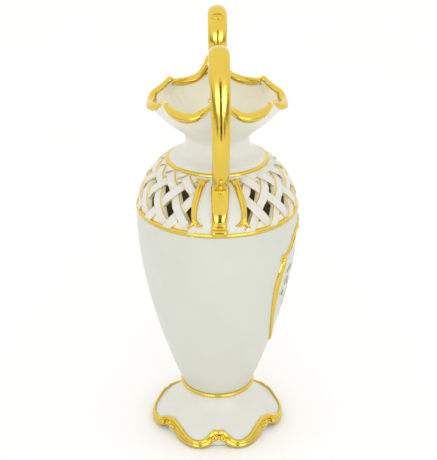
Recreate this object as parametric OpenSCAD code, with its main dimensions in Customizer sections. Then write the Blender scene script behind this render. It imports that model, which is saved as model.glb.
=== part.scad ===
// Porcelain vase: a gilded baluster vase with a six-lobed foot, a woven openwork shoulder,
// a ruffled mouth and two tall loop handles. The origin is on the table, on the vase's axis.
// The handles lie along X, and the painted cartouche faces -Y.

/* [Foot] */
// Radius of the foot's porcelain edge in the middle of a lobe
foot_lobe_r = 56; // [54:0.5:58]
// Radius of that edge in a cleft between two lobes
foot_cleft_r = 49.5; // [48:0.5:52]
// Height of that edge in the middle of a lobe
foot_edge_z = 7; // [6:0.5:9]
// Further rise of that edge beside each cleft
hump_rise = 7; // [5:0.5:9]
// Height of the foot up to the waist ring
foot_h = 39.8; // [34:0.2:42]
// Outer radius of the unglazed ring that the vase stands on
footring_r = 45; // [42:0.5:46]
// Height of that ring
footring_h = 5; // [4:0.5:6]

/* [Body] */
// Radius of the waist, where the foot meets the body
waist_r = 31.8; // [28:0.2:34]
// Greatest radius of the body
body_r = 70; // [64:0.5:74]
// Height at which the body is widest
widest_z = 205; // [190:1:210]
// Exponent of the taper from the widest height down to the waist
taper = 1.69; // [1.4:0.01:2]
// Thickness of the porcelain wall
wall_t = 4; // [3:0.1:5]
// Height of the body's top edge
body_top_z = 217.5; // [214:0.5:219]

/* [Shoulder] */
// Height of the lattice's lower edge
lattice_low_z = 221.3; // [220:0.1:223]
// Height of the lattice's upper edge
lattice_top_z = 260.8; // [258:0.1:262]
// Width of a woven strip
strip_w = 7.2; // [5:0.1:7.6]
// Thickness of a woven strip
strip_t = 2.3; // [1.8:0.1:2.4]
// Half the angle that a handle panel takes up, in degrees
panel_half_angle = 17.5; // [16:0.5:19]

/* [Neck and mouth] */
// Height at which the collar meets the ruffled mouth
neck_top_z = 282; // [280:0.5:284]
// Radius of the neck
neck_r = 27.2; // [25:0.2:30]
// Radius of the mouth to the middle of a lobe
mouth_lobe_r = 52; // [48:0.5:56]
// Height of the mouth in the middle of a lobe
mouth_lobe_z = 308; // [304:0.5:312]
// Radius of the mouth in a cleft between two lobes
mouth_cleft_r = 46.5; // [44:0.5:50]
// Height of the mouth in a cleft
mouth_cleft_z = 318.5; // [316:0.5:324]
// Further rise of the mouth at the root of each handle
root_rise = 7.5; // [5:0.5:10]
// Width of the rolled lip
lip_w = 7.8; // [6:0.1:9]

/* [Handles] */
// Height of the top of the loops, which is the height of the vase
total_h = 377; // [370:1:384]
// Distance of a loop's top from the vase's axis
loop_top_x = 64; // [60:0.5:68]
// Greatest distance of a loop's centre line from the vase's axis
loop_out_x = 82; // [78:0.5:88]
// Width of a loop at its top
handle_w = 16.6; // [14:0.2:18]
// Thickness of a loop at its top
handle_t = 12.4; // [10:0.2:13]

/* [Cartouche] */
// Half the angle that the cartouche frame takes up, in degrees
cartouche_half_angle = 39; // [30:1:42]
// Height of the frame's lowest point
cartouche_low_z = 86; // [80:1:100]
// Height of the frame's highest point
cartouche_top_z = 211; // [190:1:212]
// Width of the frame's moulding
frame_w = 5.6; // [4:0.1:6]

/* [Hidden] */

$fn = 96;
white = [0.90, 0.90, 0.86];
gold = [0.87, 0.73, 0.28];
// A gap thinner than a brush stroke of slip, which keeps curved pieces that touch apart
slip = 0.1;
lobes = 6;

// The shoulder is a quarter of an ellipse, from the body's widest height up to the collar
shoulder_z = 214;
shoulder_h = 62;
ring_bead_r = 1.9;
waist_ring_h = 4.2;
waist_ring_r = 33.9;
body_low_z = foot_h + waist_ring_h;
collar_low_z = lattice_top_z + 3.4;

function square_of(x) = x * x;
function tanh(x) = (exp(x) - exp(-x)) / (exp(x) + exp(-x));
function mix(a, b, t) = a + (b - a) * t;
function bezier2(a, b, c, t) = mix(mix(a, b, t), mix(b, c, t), t);
function bezier3(a, b, c, d, t) = mix(bezier2(a, b, c, t), bezier2(b, c, d, t), t);
function bezier4(a, b, c, d, e, t) = mix(bezier3(a, b, c, d, t), bezier3(b, c, d, e, t), t);

// Outer radius of the body and the shoulder at height z
function shell_r(z) = z < widest_z
    ? body_r - (body_r - waist_r) * pow((widest_z - z) / (widest_z - body_low_z), taper)
    : z < shoulder_z ? body_r : body_r * sqrt(1 - square_of((z - shoulder_z) / shoulder_h));
// Slope of the shoulder, as radius lost per height gained
function shoulder_slope(z) = z < shoulder_z
    ? 0
    : square_of(body_r / shoulder_h) * (z - shoulder_z) / shell_r(z);
// The same for the whole shell, measured over a short height
function shell_slope(z) = shell_r(z - 0.5) - shell_r(z + 0.5);
// Horizontal thickness of a layer of thickness 1 that lies on the shoulder
function level_t(z) = sqrt(1 + square_of(shoulder_slope(z)));

// A point at angle a round the axis
function polar(r, a, z) = [r * cos(a), r * sin(a), z];
// 1 in the middle of a lobe and 0 in a cleft; the clefts are at 0, 60, 120 and so on
function lobe_wave(a, sharpness) = pow(abs(sin(a * lobes / 2)), sharpness);

// A solid through a list of sections with the same number of points: a closed loop, or with two ends
module sweep(sections, closed = false) {
    count = len(sections);
    sides = len(sections[0]);
    spans = closed ? count : count - 1;
    skin = [for (i = [0:spans - 1]) for (j = [0:sides - 1])
        let (a = i * sides + j, b = i * sides + (j + 1) % sides,
            c = (i + 1) % count * sides + j, d = (i + 1) % count * sides + (j + 1) % sides)
        each [[a, b, d], [a, d, c]]];
    first_cap = [for (j = [1:sides - 2]) [0, j + 1, j]];
    last = (count - 1) * sides;
    last_cap = [for (j = [1:sides - 2]) [last, last + j, last + j + 1]];
    polyhedron(
        points = [for (section = sections) each section],
        faces = closed ? skin : concat(skin, first_cap, last_cap)
    );
}

// A half-round moulding's section at point p: width w along across, height h along out
function half_round(p, across, out, w, h, points = 6) = [for (i = [0:points])
    p + out * slip + across * (w / 2) * cos(180 * i / points) + out * h * sin(180 * i / points)];

function unit(v) = v / norm(v);
// Outward unit vector of the shell at angle a, where it slopes so
function out_at(a, slope) = unit([cos(a), sin(a), slope]);

// A half-round moulding that lies on the shell along a route of [angle, height] points
module shell_moulding(route, widths, height, lift = 0) {
    last = len(route) - 1;
    spots = [for (p = route) polar(shell_r(p[1]) + lift, p[0], p[1])];
    sweep([for (i = [0:last])
        let (ahead = unit(spots[min(i + 1, last)] - spots[max(i - 1, 0)]),
            out = out_at(route[i][0], shell_slope(route[i][1])),
            across = unit(cross(ahead, out)))
        half_round(spots[i], across, out, widths[i], height * widths[i] / max(widths))]);
}

// ---- Foot ----

module footring() {
    color(white)
        difference() {
            cylinder(h = footring_h, r = footring_r);
            translate([0, 0, -1]) cylinder(h = footring_h + 2, r = footring_r - 7);
        }
}

// 1 beside a cleft and 0 in the middle of a lobe, with a small dip in the cleft itself
function hump(a) =
    let (d = abs((a + 30) - 60 * floor((a + 30) / 60) - 30))
    exp(-square_of(d / 11)) - 0.15 * exp(-square_of(d / 2.5));
// The porcelain edge of the foot at angle a, as radius and height
function foot_edge(a) = [mix(foot_lobe_r, foot_cleft_r, hump(a)), foot_edge_z + hump_rise * hump(a)];

// A point on the bell of the foot at angle a, from the waist (t = 0) to the edge (t = 1)
function bell_point(a, t) =
    let (middle_r = (foot_lobe_r + foot_cleft_r) / 2, edge = [middle_r, foot_edge_z + 2])
    bezier3([waist_r, foot_h], [mix(waist_r, middle_r, 0.1), 25], [mix(waist_r, middle_r, 0.62), 21.5],
        edge, t) + (foot_edge(a) - edge) * pow(t, 5);

// Closed section of the foot's wall at angle a: down the bell, under the edge and up the hollow
function foot_section(a) =
    let (edge = foot_edge(a), outside = 10, hollow = 4, wall_r = foot_cleft_r - 0.5,
        bell = [for (i = [0:outside]) bell_point(a, i / outside)],
        under = [[wall_r, edge[1] - 2.5], [wall_r, 1], [footring_r, 1]],
        inside = [for (i = [0:hollow])
            bezier2([footring_r, footring_h], [footring_r - 6, 24], [22, foot_h], i / hollow)])
    [for (p = concat(bell, under, inside)) polar(p[0], a, p[1])];

module foot() {
    steps = 90;
    color(white) sweep([for (i = [0:steps - 1]) foot_section(i * 360 / steps)], closed = true);
}

// A scroll moulding runs along each lobe's edge: low in the middle, and up to a hump beside each cleft
module foot_scrolls() {
    steps = 18;
    reach = 57;
    scroll_w = 7.4;
    scroll_h = 3.2;
    color(gold)
        for (lobe = [0:lobes - 1])
            sweep([for (i = [0:steps])
                let (s = 2 * i / steps - 1, a = lobe * 60 + 30 + reach / 2 * s,
                    out = unit([1, 0.55]), edge = foot_edge(a) + out * slip)
                half_round(polar(edge[0], a, edge[1] - 0.6), polar(-out[1], a, out[0]),
                    polar(out[0], a, out[1]), scroll_w, scroll_h)]);
}

// Two small curls sit under the humps on each side of a cleft
module foot_volutes() {
    volute_r = 2.2;
    color(gold)
        for (cleft = [0:lobes - 1], side = [-1, 1])
            let (a = cleft * 60 + side * 5)
            translate(polar(foot_cleft_r + volute_r - 0.3, a, 5.2)) sphere(volute_r, $fn = 32);
}

module waist_ring() {
    bead = waist_ring_h / 2;
    color(gold)
        translate([0, 0, foot_h])
            rotate_extrude()
                union() {
                    translate([22, 0]) square([waist_ring_r - bead - 22, waist_ring_h]);
                    intersection() {
                        translate([waist_ring_r - bead, bead]) circle(bead);
                        translate([waist_ring_r - bead, 0]) square([bead, waist_ring_h]);
                    }
                }
}

// ---- Body ----

module body() {
    steps = 14;
    floor_z = body_low_z + 6;
    outside = [for (i = [0:steps])
        let (z = mix(body_low_z, body_top_z, i / steps)) [shell_r(z), z]];
    inside = [for (i = [steps:-1:0])
        let (z = mix(floor_z, body_top_z, i / steps)) [shell_r(z) - wall_t, z]];
    color(white)
        rotate_extrude() polygon(concat([[0, body_low_z]], outside, inside, [[0, floor_z]]));
}

// A ring of wall between two heights, with a bead on its outer edge
module bead_ring(low_z, top_z, inner_r, bead_centre_r, bead_r) {
    rotate_extrude()
        intersection() {
            union() {
                polygon([[inner_r, low_z], [shell_r(low_z), low_z], [shell_r(top_z), top_z],
                    [inner_r, top_z]]);
                translate([bead_centre_r, (low_z + top_z) / 2]) circle(bead_r);
            }
            translate([inner_r, low_z]) square([body_r, top_z - low_z]);
        }
}

module lower_shoulder_ring() {
    color(gold)
        bead_ring(body_top_z, lattice_low_z, body_r - 6.5, body_r - 2.2, ring_bead_r + 0.2);
}

module upper_shoulder_ring() {
    color(gold)
        bead_ring(lattice_top_z, collar_low_z, 33.5, shell_r(collar_low_z) + 1, ring_bead_r);
}

// ---- Woven lattice ----
// u counts half cells round the vase and v counts rows down the shoulder. A rising strip keeps
// u + v, and a falling one u - v. They cross where u + v is odd, and one goes over the other in turn.

cells = 36;
step_rad = 2 * PI / cells;
row_0_z = 256.2;
row_step = 6.9;
row_growth = 1.85;
weave_depth = strip_t + 0.4;
v_top = row_v(lattice_top_z);
v_low = row_v(lattice_low_z);
u_panel = panel_half_angle / 360 * cells;

// Height of row v: the rows are further apart lower down
function row_z(v) = row_0_z - row_step * v - row_growth * v * v;
function row_v(z) =
    (sqrt(square_of(row_step) + 4 * row_growth * (row_0_z - z)) - row_step) / 2 / row_growth;
// Length of half a cell round the vase, and of a row down the shoulder
function step_len(v) = step_rad * shell_r(row_z(v));
function row_len(v) = (row_step + 2 * row_growth * v) * level_t(row_z(v));
// Half a strip's width, measured level and in half cells
function strip_half_u(v) = strip_w / 2 / sin(atan(row_len(v) / step_len(v))) / step_len(v);
// How far along a strip a point on its edge lies, per half cell of level distance
function edge_lead(v) =
    square_of(step_len(v)) / (square_of(step_len(v)) + square_of(row_len(v)));
// 1 where the strip goes over, 0 where it goes under, with level stretches at the crossings
function over(v, lean) = (1 - lean * max(-1, min(1, 2.2 * cos(180 * v)))) / 2;
// The row at which an edge of a strip reaches u_end
function edge_row(c, lean, edge, u_end, v = 1.5, tries = 6) = tries == 0
    ? v
    : edge_row(c, lean, edge, u_end,
        max(-1.2, min(3.5, lean * (c + edge * strip_half_u(v) - u_end))), tries - 1);

function strip_section(c, lean, rows) = [for (corner = [[-1, 0], [1, 0], [1, 1], [-1, 1]])
    let (edge = corner[0], v = rows[edge < 0 ? 0 : 1], z = row_z(v),
        u = c - lean * v + edge * strip_half_u(v),
        sunk = weave_depth * (1 - over(v - lean * edge * edge_lead(v) * strip_half_u(v), lean)))
    polar(shell_r(z) - level_t(z) * (sunk + corner[1] * strip_t), u * 360 / cells, z)];

// One strip, clipped by the two rings and by the panels at u_from and u_to
module strip(c, lean, u_from, u_to) {
    u_start = lean > 0 ? u_to : u_from;
    u_end = lean > 0 ? u_from : u_to;
    start = [for (edge = [-1, 1]) max(v_top, edge_row(c, lean, edge, u_start))];
    end = [for (edge = [-1, 1]) min(v_low, edge_row(c, lean, edge, u_end))];
    shortest = min(end - start);
    if (shortest > 0.3) {
        steps = ceil(max(end - start) / 0.2);
        sweep([for (i = [0:steps]) strip_section(c, lean, mix(start, end, i / steps))]);
    }
}

module lattice_half(lean, u_from) {
    u_to = u_from + cells / 2 - 2 * u_panel;
    color(white)
        for (c = [u_from - 5.75:2:u_to + 4])
            let (odd_c = 2 * floor(c / 2) + 1)
            strip(odd_c, lean, u_from, u_to);
}

module lattice_back_rising() { lattice_half(1, u_panel); }
module lattice_back_falling() { lattice_half(-1, u_panel); }
module lattice_front_rising() { lattice_half(1, cells / 2 + u_panel); }
module lattice_front_falling() { lattice_half(-1, cells / 2 + u_panel); }

// ---- Handle panels ----

module handle_panel() {
    steps = 8;
    inset = 0.4;
    heights = [for (i = [0:steps]) mix(lattice_low_z, lattice_top_z, i / steps)];
    outside = [for (z = heights) [shell_r(z) - inset, z]];
    inside = [for (i = [steps:-1:0])
        let (z = heights[i]) [shell_r(z) - inset - wall_t * level_t(z), z]];
    color(white)
        rotate_extrude(angle = 2 * panel_half_angle, start = -panel_half_angle)
            polygon(concat(outside, inside));
}

// One scroll beside a panel: its top leans towards the handle, and its lower end curls under it
module panel_scroll(side) {
    steps = 12;
    low = lattice_low_z + 4.6;
    high = lattice_top_z - 3;
    route = [for (i = [0:steps])
        let (t = i / steps, lean = 3 * square_of(max(0, 2 * t - 1)),
            curl = 6.5 * square_of(max(0, 1 - 5 * t)))
        [side * (panel_half_angle + 0.9 - lean - curl), mix(low, high, t)]];
    widths = [for (i = [0:steps]) mix(3.2, 4.8, i / steps)];
    color(gold) shell_moulding(route, widths, 2.4);
}

module panel_scrolls() {
    for (side = [-1, 1])
        panel_scroll(side);
}

// ---- Collar and mouth ----

module collar() {
    steps = 8;
    low = [shell_r(collar_low_z) - 0.6, collar_low_z];
    cove = [for (i = [0:steps])
        bezier3(low, [neck_r + 4, collar_low_z + 4.5], [neck_r, collar_low_z + 7],
            [neck_r, neck_top_z], i / steps)];
    color(white)
        rotate_extrude()
            polygon(concat(cove, [[neck_r - wall_t, neck_top_z], [neck_r - wall_t, collar_low_z + 11],
                [34, collar_low_z]]));
}

// 1 at the root of a handle, falling to 0 well before the next lobe's middle
function root_wave(a) = exp(-square_of(sin(a) * 3.6));
// Middle of the mouth's edge at angle a, as radius and height
function rim_point(a) = let (w = lobe_wave(a, 0.8))
    [mix(mouth_cleft_r, mouth_lobe_r, w), mix(mouth_cleft_z, mouth_lobe_z, w) + root_rise * root_wave(a)];
// Middle of the mouth's wall at angle a, from the neck (t = 0) to the rim (t = 1). The folds of the
// rim fade out on the way down.
function mouth_line(a, t) =
    let (mean = [(mouth_lobe_r + mouth_cleft_r) / 2, (mouth_lobe_z + mouth_cleft_z) / 2])
    bezier3([neck_r - wall_t / 2, neck_top_z], [neck_r - 1.6, neck_top_z + 7.5], mean - [4, 15.5],
        mean, t)
    + (rim_point(a) - mean) * pow(t, 3);
function rim_direction(a) = unit(rim_point(a) - mouth_line(a, 0.9));

function mouth_section(a) =
    let (steps = 6,
        side = function (s) [for (i = [0:steps])
            let (t = i / steps,
                along = unit(mouth_line(a, t + 0.01) - mouth_line(a, t - 0.01)),
                across = i == 0 ? [1, 0] : [along[1], -along[0]])
            mouth_line(a, t) + s * across * wall_t / 2],
        inner = side(-1))
    [for (p = concat(side(1), [for (i = [steps:-1:0]) inner[i]])) polar(p[0], a, p[1])];

module mouth() {
    steps = 84;
    color(white) sweep([for (i = [0:steps - 1]) mouth_section(i * 360 / steps)], closed = true);
}

// The rolled lip, in two halves that stop at the roots of the handles
module lip(from) {
    steps = 60;
    clear = 11;
    lip_h = 6.6;
    color(gold)
        sweep([for (i = [0:steps])
            let (a = from + mix(clear, 180 - clear, i / steps), along = rim_direction(a),
                p = rim_point(a) + along * slip, size = mix(0.66, 1, lobe_wave(a, 1)))
            [for (k = [0:8])
                let (q = p + size * ([along[1], -along[0]] * lip_w / 2 * cos(22.5 * k)
                    + along * lip_h * sin(22.5 * k)))
                polar(q[0], a, q[1])]]);
}

// ---- Handles ----

root_x = mouth_cleft_r + 0.3;
root_z = mouth_cleft_z + root_rise + 0.9;
top_z = total_h - handle_t / 2;
foot_z = 253;
foot_out = 0.9;
// Slope of the shoulder where the loop lands on it, as a unit vector in the plane of the loop
landing = unit([1, shoulder_slope(foot_z)]);
foot_point = [shell_r(foot_z), foot_z] + landing * foot_out;

function loop_line(t) = t < 1
    ? bezier4([root_x, root_z], [root_x - 0.8, top_z - 25], [root_x - 0.8, top_z - 5],
        [loop_top_x - 14, top_z], [loop_top_x, top_z], t)
    : t < 2
    ? bezier3([loop_top_x, top_z], [loop_top_x + 12, top_z], [loop_out_x, 338],
        [loop_out_x, 308], t - 1)
    : bezier3([loop_out_x, 308], [loop_out_x, 284], foot_point + landing * 14, foot_point, t - 2);

function loop_section(t) =
    let (sides = 12, p = loop_line(t), ahead = unit(loop_line(t + 0.01) - loop_line(t - 0.01)),
        along = t < 0.01 ? [0, 1] : t > 2.99 ? -landing : ahead,
        w = mix(handle_w, 13.6, max(0, t - 1) / 2), thick = mix(handle_t, 10, max(0, t - 1) / 2))
    [for (i = [0:sides - 1])
        let (level = w / 2 * cos(360 * i / sides), out = thick / 2 * sin(360 * i / sides))
        [p[0] + along[1] * out, level, p[1] - along[0] * out]];

module handle() {
    steps = 30;
    color(gold) sweep([for (i = [0:steps]) loop_section(3 * i / steps)]);
}

// The strap below a loop lies on the panel and ends in a roll at the lower ring
module strap() {
    steps = 8;
    route = [for (i = [0:steps]) [0, mix(lattice_low_z + 0.4, foot_z - 7.5, i / steps)]];
    widths = [for (i = [0:steps]) mix(12.2, 13.4, i / steps)];
    color(gold) shell_moulding(route, widths, 4.2, 0.3);
}

// A short drop of beads on the outside of a loop's lower end
module husk() {
    beads = 3;
    color(gold)
        for (i = [0:beads - 1])
            let (bead_r = 1.7, t = 2.55 + 0.12 * i, p = loop_line(t),
                ahead = unit(loop_line(t + 0.01) - loop_line(t - 0.01)))
            translate([p[0] - ahead[1] * (5.3 + bead_r), 0, p[1] + ahead[0] * (5.3 + bead_r)])
                sphere(bead_r, $fn = 24);
}

// ---- Cartouche ----

// Outline of the frame on one side, from its foot (t = 0) to its top (t = 1)
function cartouche_point(t, side) =
    let (z = mix(cartouche_low_z, cartouche_top_z, (1 - cos(180 * t)) / 2),
        swell = pow(sin(180 * t), 0.7), notch = 1.5 * exp(-square_of((z - 184) / 5)))
    [270 + side * (cartouche_half_angle * swell - notch), z];

module cartouche_side(side) {
    steps = 22;
    route = [for (i = [0:steps]) cartouche_point(mix(0.1, 0.9, i / steps), side)];
    widths = [for (i = [0:steps]) frame_w * (1 - 0.35 * square_of(2 * i / steps - 1))];
    color(gold) shell_moulding(route, widths, 2);
}

module cartouche_cap(low, high, waist) {
    steps = 10;
    route = [for (i = [0:steps])
        let (s = 2 * i / steps - 1) [270 + 11 * s, mix(high, low, square_of(s))]];
    widths = [for (i = [0:steps]) mix(frame_w, waist, pow(abs(2 * i / steps - 1), 2))];
    color(gold) shell_moulding(route, widths, 2.4);
}

module cartouche_crest() {
    cartouche_cap(cartouche_point(0.9, 1)[1] + 3, cartouche_top_z, 3);
}

module cartouche_base() {
    cartouche_cap(cartouche_point(0.1, 1)[1] - 3, cartouche_low_z, 3);
}

// ---- Pieces that come in pairs: the right one, and the left one turned half round ----

module left_side() { rotate([0, 0, 180]) children(); }

footring();
foot();
foot_scrolls();
foot_volutes();
waist_ring();
body();
lower_shoulder_ring();
lattice_front_rising();
lattice_front_falling();
lattice_back_rising();
lattice_back_falling();
left_side() handle_panel();  // handle_panel_left
handle_panel();  // handle_panel_right
left_side() panel_scrolls();  // panel_scrolls_left
panel_scrolls();  // panel_scrolls_right
upper_shoulder_ring();
collar();
mouth();
lip(180);  // lip_front
lip(0);  // lip_back
left_side() handle();  // handle_left
handle();  // handle_right
left_side() strap();  // strap_left
strap();  // strap_right
left_side() husk();  // husk_left
husk();  // husk_right
cartouche_side(-1);  // cartouche_left
cartouche_side(1);  // cartouche_right
cartouche_crest();
cartouche_base();
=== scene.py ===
import math

import bpy
import numpy as np
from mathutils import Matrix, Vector


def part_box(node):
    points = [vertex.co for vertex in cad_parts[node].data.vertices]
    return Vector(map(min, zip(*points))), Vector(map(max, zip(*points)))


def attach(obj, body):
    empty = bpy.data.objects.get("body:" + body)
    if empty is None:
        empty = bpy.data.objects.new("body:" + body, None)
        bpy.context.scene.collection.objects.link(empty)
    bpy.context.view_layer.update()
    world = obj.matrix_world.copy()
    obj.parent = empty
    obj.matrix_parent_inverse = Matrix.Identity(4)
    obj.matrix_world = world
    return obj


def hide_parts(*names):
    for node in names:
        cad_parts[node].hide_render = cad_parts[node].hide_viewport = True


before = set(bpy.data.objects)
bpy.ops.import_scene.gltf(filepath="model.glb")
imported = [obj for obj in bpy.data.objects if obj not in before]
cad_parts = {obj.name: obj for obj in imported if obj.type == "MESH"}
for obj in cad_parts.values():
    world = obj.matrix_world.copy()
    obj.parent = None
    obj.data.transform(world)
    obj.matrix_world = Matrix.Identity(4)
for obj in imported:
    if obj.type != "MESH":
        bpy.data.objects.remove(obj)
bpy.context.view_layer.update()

# Lengths below are in millimetres and angles in degrees, unless a name says otherwise.
MM = 0.001
PI = math.pi


def low_z(node):
    """Height of a CAD node's lowest point."""
    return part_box(node)[0].z / MM


def high_z(node):
    """Height of a CAD node's highest point."""
    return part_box(node)[1].z / MM


def half_y(node):
    """Half the width of a CAD node that is centred on the axis."""
    return (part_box(node)[1].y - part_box(node)[0].y) / 2 / MM


# ---- Driving dimensions, read from the frame ----

TOTAL_H = high_z("handle_right")
FOOT_H = high_z("foot")
BODY_LOW_Z = low_z("body")
BODY_TOP_Z = high_z("body")
BODY_R = half_y("body")
LATTICE_LOW_Z = low_z("handle_panel_right")
LATTICE_TOP_Z = high_z("handle_panel_right")
COLLAR_LOW_Z = low_z("collar")
FOOTRING_R = half_y("footring")
FOOTRING_H = high_z("footring")
WAIST_RING_R = half_y("waist_ring")

# ---- Form of the vase, as part.scad has it ----

WAIST_R = 31.8
WIDEST_Z = 205.0
TAPER = 1.69
WALL_T = 4.0
SHOULDER_Z = 214.0
SHOULDER_H = 62.0
NECK_R = 27.2
NECK_TOP_Z = 282.0
PANEL_HALF_ANGLE = 17.5
LOBES = 6
CELLS = 36
UPPER_RING_R = 44.0


# ---- Small functions of numbers and vectors ----


def mix(a, b, t):
    return a + (b - a) * t


def smooth(t):
    t = np.clip(t, 0.0, 1.0)
    return t * t * (3 - 2 * t)


def bell(x, width):
    """1 at x = 0, falling to 0 beyond a few widths."""
    return np.exp(-((np.asarray(x, float) / width) ** 2))


def vec(*numbers):
    return np.array(numbers, float)


def unit(v):
    v = np.asarray(v, float)
    return v / np.maximum(np.linalg.norm(v, axis=-1, keepdims=True), 1e-12)


def bezier(points, t):
    """Point of a Bezier curve with any number of control points."""
    points = [np.asarray(p, float) for p in points]
    while len(points) > 1:
        points = [mix(a, b, t) for a, b in zip(points, points[1:])]
    return points[0]


def polar(r, angle, z):
    """A point at that radius, angle and height."""
    a = math.radians(angle)
    return vec(r * math.cos(a), r * math.sin(a), z)


def in_plane(point, angle):
    """A (radius, height) pair, placed in the upright plane at that angle."""
    return polar(point[0], angle, point[1])


def rounded(corners, radius, steps=5):
    """A closed 2-D outline with its corners rounded."""
    out = []
    count = len(corners)
    for i in range(count):
        here = np.asarray(corners[i], float)
        before = np.asarray(corners[i - 1], float) - here
        after = np.asarray(corners[(i + 1) % count], float) - here
        reach = min(radius, 0.45 * np.linalg.norm(before), 0.45 * np.linalg.norm(after))
        a, b = here + unit(before) * reach, here + unit(after) * reach
        out += [bezier([a, here, b], k / steps) for k in range(steps + 1)]
    return out


def follow(table, x):
    """Values at x in a table with rows of (x, value, value...)."""
    return np.array([np.interp(x, table[:, 0], column) for column in table.T[1:]])


def smooth_curve(points, per_span=8):
    """A Catmull-Rom curve through the points."""
    pts = [np.asarray(p, float) for p in points]
    pts = [2 * pts[0] - pts[1]] + pts + [2 * pts[-1] - pts[-2]]
    out = []
    for a, b, c, d in zip(pts, pts[1:], pts[2:], pts[3:]):
        for k in range(per_span):
            t = k / per_span
            out.append(
                0.5 * (2 * b + (c - a) * t + (2 * a - 5 * b + 4 * c - d) * t * t
                       + (3 * b - 3 * c + d - a) * t ** 3)
            )
    return np.array(out + [pts[-2]])


# ---- Surfaces ----


def shell_r(z):
    """Outer radius of the body and the shoulder at height z."""
    z = min(z, SHOULDER_Z + SHOULDER_H * 0.98)
    if z < WIDEST_Z:
        share = max(0.0, (WIDEST_Z - z) / (WIDEST_Z - BODY_LOW_Z))
        return BODY_R - (BODY_R - WAIST_R) * share ** TAPER
    if z < SHOULDER_Z:
        return BODY_R
    return BODY_R * math.sqrt(max(0.0, 1 - ((z - SHOULDER_Z) / SHOULDER_H) ** 2))


def shell_slope(z):
    """Radius lost per height gained."""
    return (shell_r(z - 0.5) - shell_r(z + 0.5))


def shell_normal(angle, z):
    a = math.radians(angle)
    return unit(vec(math.cos(a), math.sin(a), shell_slope(z)))


def shell_point(angle, z, lift=0.0):
    return polar(shell_r(z), angle, z) + shell_normal(angle, z) * lift


def level_t(z):
    """Horizontal thickness of a layer of thickness 1 that lies on the shoulder."""
    return math.hypot(1.0, shell_slope(z))


def lobe_wave(angle):
    """1 in the middle of a lobe, 0 in a cleft. The clefts are at 0, 60, 120 and so on."""
    soft = 0.11
    wave = math.hypot(math.sin(math.radians(angle) * LOBES / 2), soft)
    return ((wave - soft) / (math.hypot(1, soft) - soft)) ** 0.85


def from_cleft(angle):
    """Angle from the nearest cleft, up to 30 degrees in the middle of a lobe."""
    return abs((angle + 30) % 60 - 30)


# Height of lattice row v is a quadratic in v: the rows are further apart lower down
ROW_0_Z = 256.2
ROW_STEP = 6.9
ROW_GROWTH = 1.85


def row_z(v):
    """Height of lattice row v."""
    return ROW_0_Z - ROW_STEP * v - ROW_GROWTH * v * v


def row_v(z):
    """Lattice row at height z."""
    root = math.sqrt(ROW_STEP ** 2 + 4 * ROW_GROWTH * (ROW_0_Z - z))
    return (root - ROW_STEP) / (2 * ROW_GROWTH)


# ---- Meshes ----


class Build:
    """Collects vertices and faces, in millimetres, with a material number for each face."""

    def __init__(self):
        self.points = []
        self.faces = []
        self.slots = []

    def add(self, points, faces, slots):
        base = len(self.points)
        self.points += [tuple(p) for p in points]
        self.faces += [tuple(base + i for i in f) for f in faces]
        self.slots += list(slots)

    def loft(self, sections, closed=False, side_slots=None, cap_slot=0):
        """A skin through closed sections with equal counts of points. It has a cap at each end, unless
        it is closed on itself. side_slots gives each side of a section its material."""
        sections = np.asarray(sections, float)
        count, sides, _ = sections.shape
        faces, slots = [], []
        for i in range(count if closed else count - 1):
            for j in range(sides):
                a, b = i * sides + j, i * sides + (j + 1) % sides
                k = (i + 1) % count * sides
                faces.append((a, b, k + (j + 1) % sides, k + j))
                slots.append(side_slots[j] if side_slots else 0)
        points = [p for s in sections for p in s]
        if not closed:
            for start, step in ((0, -1), ((count - 1) * sides, 1)):
                middle = len(points)
                points.append(np.mean(sections[0 if start == 0 else -1], axis=0))
                for j in range(sides):
                    pair = (start + j, start + (j + 1) % sides)
                    faces.append((middle,) + (pair if step > 0 else pair[::-1]))
                    slots.append(cap_slot)
        self.add(points, faces, slots)

    def ball(self, centre, radii, axes):
        """An ellipsoid with half-axes radii along axes."""
        rows, columns = 12, 20
        sections = []
        for i in range(1, rows):
            up = PI * i / rows
            sections.append([
                centre + axes[2] * radii[2] * math.cos(up)
                + math.sin(up) * (axes[0] * radii[0] * math.cos(2 * PI * j / columns)
                                  + axes[1] * radii[1] * math.sin(2 * PI * j / columns))
                for j in range(columns)])
        base = len(self.points)
        self.loft(sections)
        tips = (base + (rows - 1) * columns, base + (rows - 1) * columns + 1)
        for tip, sign in zip(tips, (1, -1)):
            self.points[tip] = tuple(centre + axes[2] * radii[2] * sign)

    def piece(self, name, materials, slot, replaced=(), sharp=50):
        """Makes the Blender object and hides the CAD nodes that it replaces. The slot argument is not used.
        Edges sharper than that angle stay sharp."""
        mesh = bpy.data.meshes.new(name)
        mesh.from_pydata((np.array(self.points) * MM).tolist(), [], self.faces)
        for material in materials:
            mesh.materials.append(material)
        mesh.polygons.foreach_set("material_index", self.slots)
        mesh.shade_smooth()
        mesh.set_sharp_from_angle(angle=math.radians(sharp))
        mesh.validate()
        mesh.update()
        obj = bpy.data.objects.new(name, mesh)
        bpy.context.scene.collection.objects.link(obj)
        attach(obj, "root")
        if replaced:
            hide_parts(*replaced)
        return obj


def revolve(build, outline, side_slots=None, steps=240):
    """A closed outline of (radius, height) points, turned round the axis."""
    build.loft([[in_plane(p, 360 * i / steps) for p in outline] for i in range(steps)],
               closed=True, side_slots=side_slots)


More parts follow.
